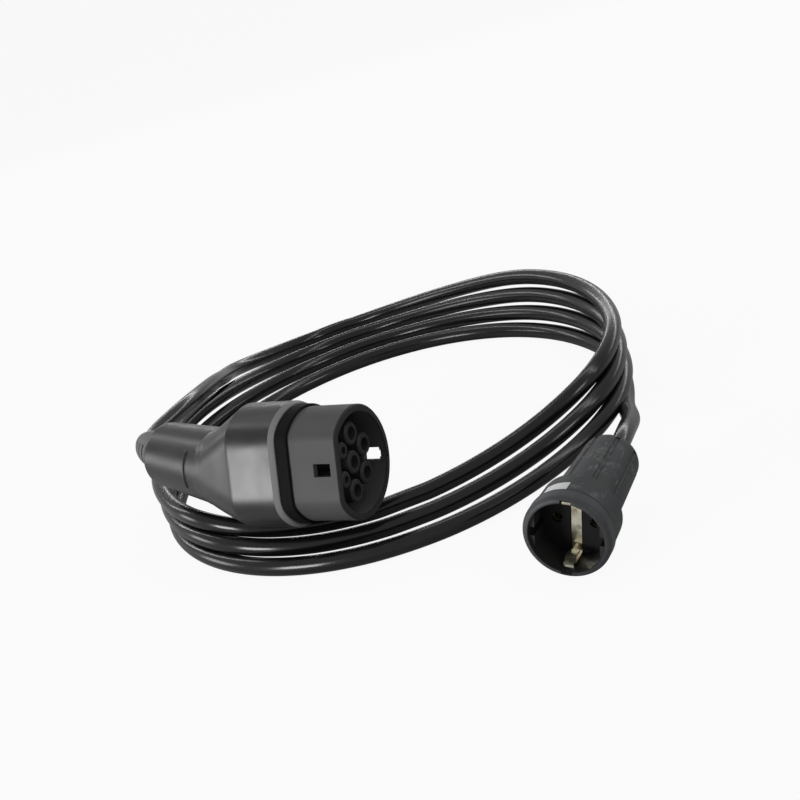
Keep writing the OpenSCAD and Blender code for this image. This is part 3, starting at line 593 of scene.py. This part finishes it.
finishes = {
    "housing": mouldedPlastic(
        "housingPlastic", (0.019, 0.0195, 0.02), (0.024, 0.0245, 0.025), 0.36, shine=1.56,
        front={"depth": 40.1, "colour": (0.3, 0.3, 0.304), "roughness": 0.56}),  # the rim's chamfer, a painted highlight in light grey
    "nose": mouldedPlastic(
        "nosePlastic", (0.093, 0.093, 0.095), (0.106, 0.106, 0.108), 0.56, shine=1.35,
        front={"depth": 0.75, "colour": (0.034, 0.034, 0.035), "roughness": 0.6}),  # its face, painted shade in dark grey
    "seal": mouldedPlastic("sealRubber", (0.004, 0.004, 0.0045), (0.008, 0.008, 0.0085), 0.7, grain=0.7, shine=1.22),
    "carrier": mouldedPlastic("carrierPlastic", (0.036, 0.036, 0.037), (0.045, 0.045, 0.046), 0.5, shine=1.3),
    "boot": mouldedPlastic("bootRubber", (0.15, 0.152, 0.156), (0.18, 0.182, 0.186), 0.6, grain=0.6),
    "cable_jacket": cableJacket("cableJacket", (0.0078, 0.0076, 0.008), (0.012, 0.0117, 0.0118), 0.19),
    "coupler_rubber": scuffedRubber(
        "couplerRubber", (0.017, 0.019, 0.021), (0.028, 0.031, 0.034), (0.27, 0.28, 0.28), 1.0),
    "coupler_front": scuffedRubber(
        "couplerFrontRubber", (0.044, 0.0465, 0.05), (0.055, 0.058, 0.062), (0.16, 0.165, 0.17), 0.3),
    "insert": mouldedPlastic("insertPlastic", (0.009, 0.009, 0.009), (0.014, 0.014, 0.014), 0.5, shine=1.3),
    "contact_metal": metalFinish("contactMetal", (0.52, 0.48, 0.38), (0.3, 0.25, 0.17), 0.28),
    "earth_metal": metalFinish("earthMetal", (0.9, 0.86, 0.7), (0.45, 0.4, 0.27), 0.14),
    "screw_steel": metalFinish("screwSteel", (0.6, 0.6, 0.6), (0.42, 0.42, 0.4), 0.3),
    "resistor": mouldedPlastic("resistorGlaze", (0.36, 0.27, 0.17), (0.42, 0.32, 0.2), 0.3),
    "core_brown": mouldedPlastic("coreBrown", (0.12, 0.045, 0.018), (0.15, 0.06, 0.025), 0.35),
    "core_blue": mouldedPlastic("coreBlue", (0.02, 0.08, 0.32), (0.03, 0.1, 0.38), 0.35),
    "core_green": mouldedPlastic("coreGreen", (0.2, 0.34, 0.04), (0.26, 0.4, 0.06), 0.35),
    "label": paperLabel("labelFilm", (0.94, 0.94, 0.95), (0.6, 0.6, 0.6)),
}
slotOf = {s["node"]: s["material_slot"] for s in frame["record"]["subparts"]}


def dress(piece, slot):
    piece.data.materials.clear()
    piece.data.materials.append(finishes[slot])


for name, node in frame["nodes"].items():
    dress(node, slotOf[name])
for piece, slot in ((cablePiece, "cable_jacket"), (housingPiece, "housing"), (sealPiece, "seal"), (bootPiece, "boot")):
    dress(piece, slot)
print("finishes made")

paper = {"half": 20000, "glow": 0.93, "dull": (0.88, 0.88, 0.88), "clean": (0.9, 0.9, 0.9), "bounced": (0.3, 0.3, 0.3)}
lamps = {  # where each stands from the middle of the object and its width and height, in metres, and its power
    "front": {"from": (-0.78, -1.36, 0.30), "size": (0.6, 0.5), "power": 12.5},
    "above": {"from": (0.15, 0.5, 1.5), "size": (2.2, 0.14), "power": 3.2},
    "left": {"from": (-1.25, 0.35, 1.1), "size": (0.08, 1.6), "power": 3.5},
    "right": {"from": (1.35, 0.2, 1.2), "size": (0.08, 1.6), "power": 2.5},
    "rear": {"from": (-0.12, 1.35, 0.39), "size": (3.0, 0.05), "power": 3.8},
    "low": {"from": (-1.5, -0.38, 0.25), "size": (0.5, 0.4), "power": 2.5},
    "side": {"from": (1.4, -0.6, 0.5), "size": (0.4, 0.4), "power": 2.5}}
middle = (-0.03, 0.1, 0)
studio = {"fill": 0.13, "sheen": 0.42}  # strength of the world on dull surfaces and in gloss


# white paper: to the camera it also glows, which evens out the white but keeps the shadow
def makeFloor(p):
    half = p["half"]
    corners = np.array([[(-half, -half, 0), (half, -half, 0)], [(-half, half, 0), (half, half, 0)]], float)
    floor = gridMesh("floor", corners, closedAcross=False, caps=False)
    r = Recipe("floorPaper")
    bounced = r.add("ShaderNodeLightPath", output="Is Diffuse Ray")
    r.finish(r.blend(bounced, r.blend(r.noise(300, 2), p["dull"], p["clean"]), p["bounced"]), 0.95)
    white = r.add("ShaderNodeEmission", None, {"Color": (1, 1, 1), "Strength": 1.0})
    seen = r.add("ShaderNodeLightPath", output="Is Camera Ray") * p["glow"]
    mixed = r.add("ShaderNodeMixShader", None, {0: seen, 1: Value(r, r.shader.outputs[0]), 2: white})
    r.feed(r.tree.nodes["Material Output"].inputs["Surface"], mixed)
    floor.data.materials.append(r.material)


# a plain rectangle of light that faces the middle of the object
def makeLamp(name, lamp):
    light = bpy.data.lights.new(name, "AREA")
    light.shape, light.energy = "RECTANGLE", lamp["power"]
    light.size, light.size_y = lamp["size"]
    piece = bpy.data.objects.new(name, light)
    bpy.context.scene.collection.objects.link(piece)
    piece.location = Vector(lamp["from"]) + Vector(middle)
    piece.rotation_euler = Vector(lamp["from"]).to_track_quat("Z", "Y").to_euler()


# strength is the fill, with the rest of the sheen added for gloss and one for the camera
def makeWorld(s):
    world = bpy.data.worlds.new("studio")
    world.use_nodes = True
    nodes, links = world.node_tree.nodes, world.node_tree.links
    background = nodes["Background"]
    rays = nodes.new("ShaderNodeLightPath")
    last = None
    for ray, share in (("Is Camera Ray", 1.0), ("Is Glossy Ray", s["sheen"] - s["fill"])):
        scaled = nodes.new("ShaderNodeMath")
        scaled.operation = "MULTIPLY_ADD"
        links.new(rays.outputs[ray], scaled.inputs[0])
        scaled.inputs[1].default_value, scaled.inputs[2].default_value = share, s["fill"]
        if last:
            links.new(last.outputs[0], scaled.inputs[2])
        last = scaled
    links.new(last.outputs[0], background.inputs["Strength"])
    background.inputs["Color"].default_value = (1, 1, 1, 1)
    bpy.context.scene.world = world


makeFloor(paper)
for name, lamp in lamps.items():
    makeLamp(name, lamp)
makeWorld(studio)
bpy.context.scene.view_settings.view_transform = "Standard"
print("floor and light made")
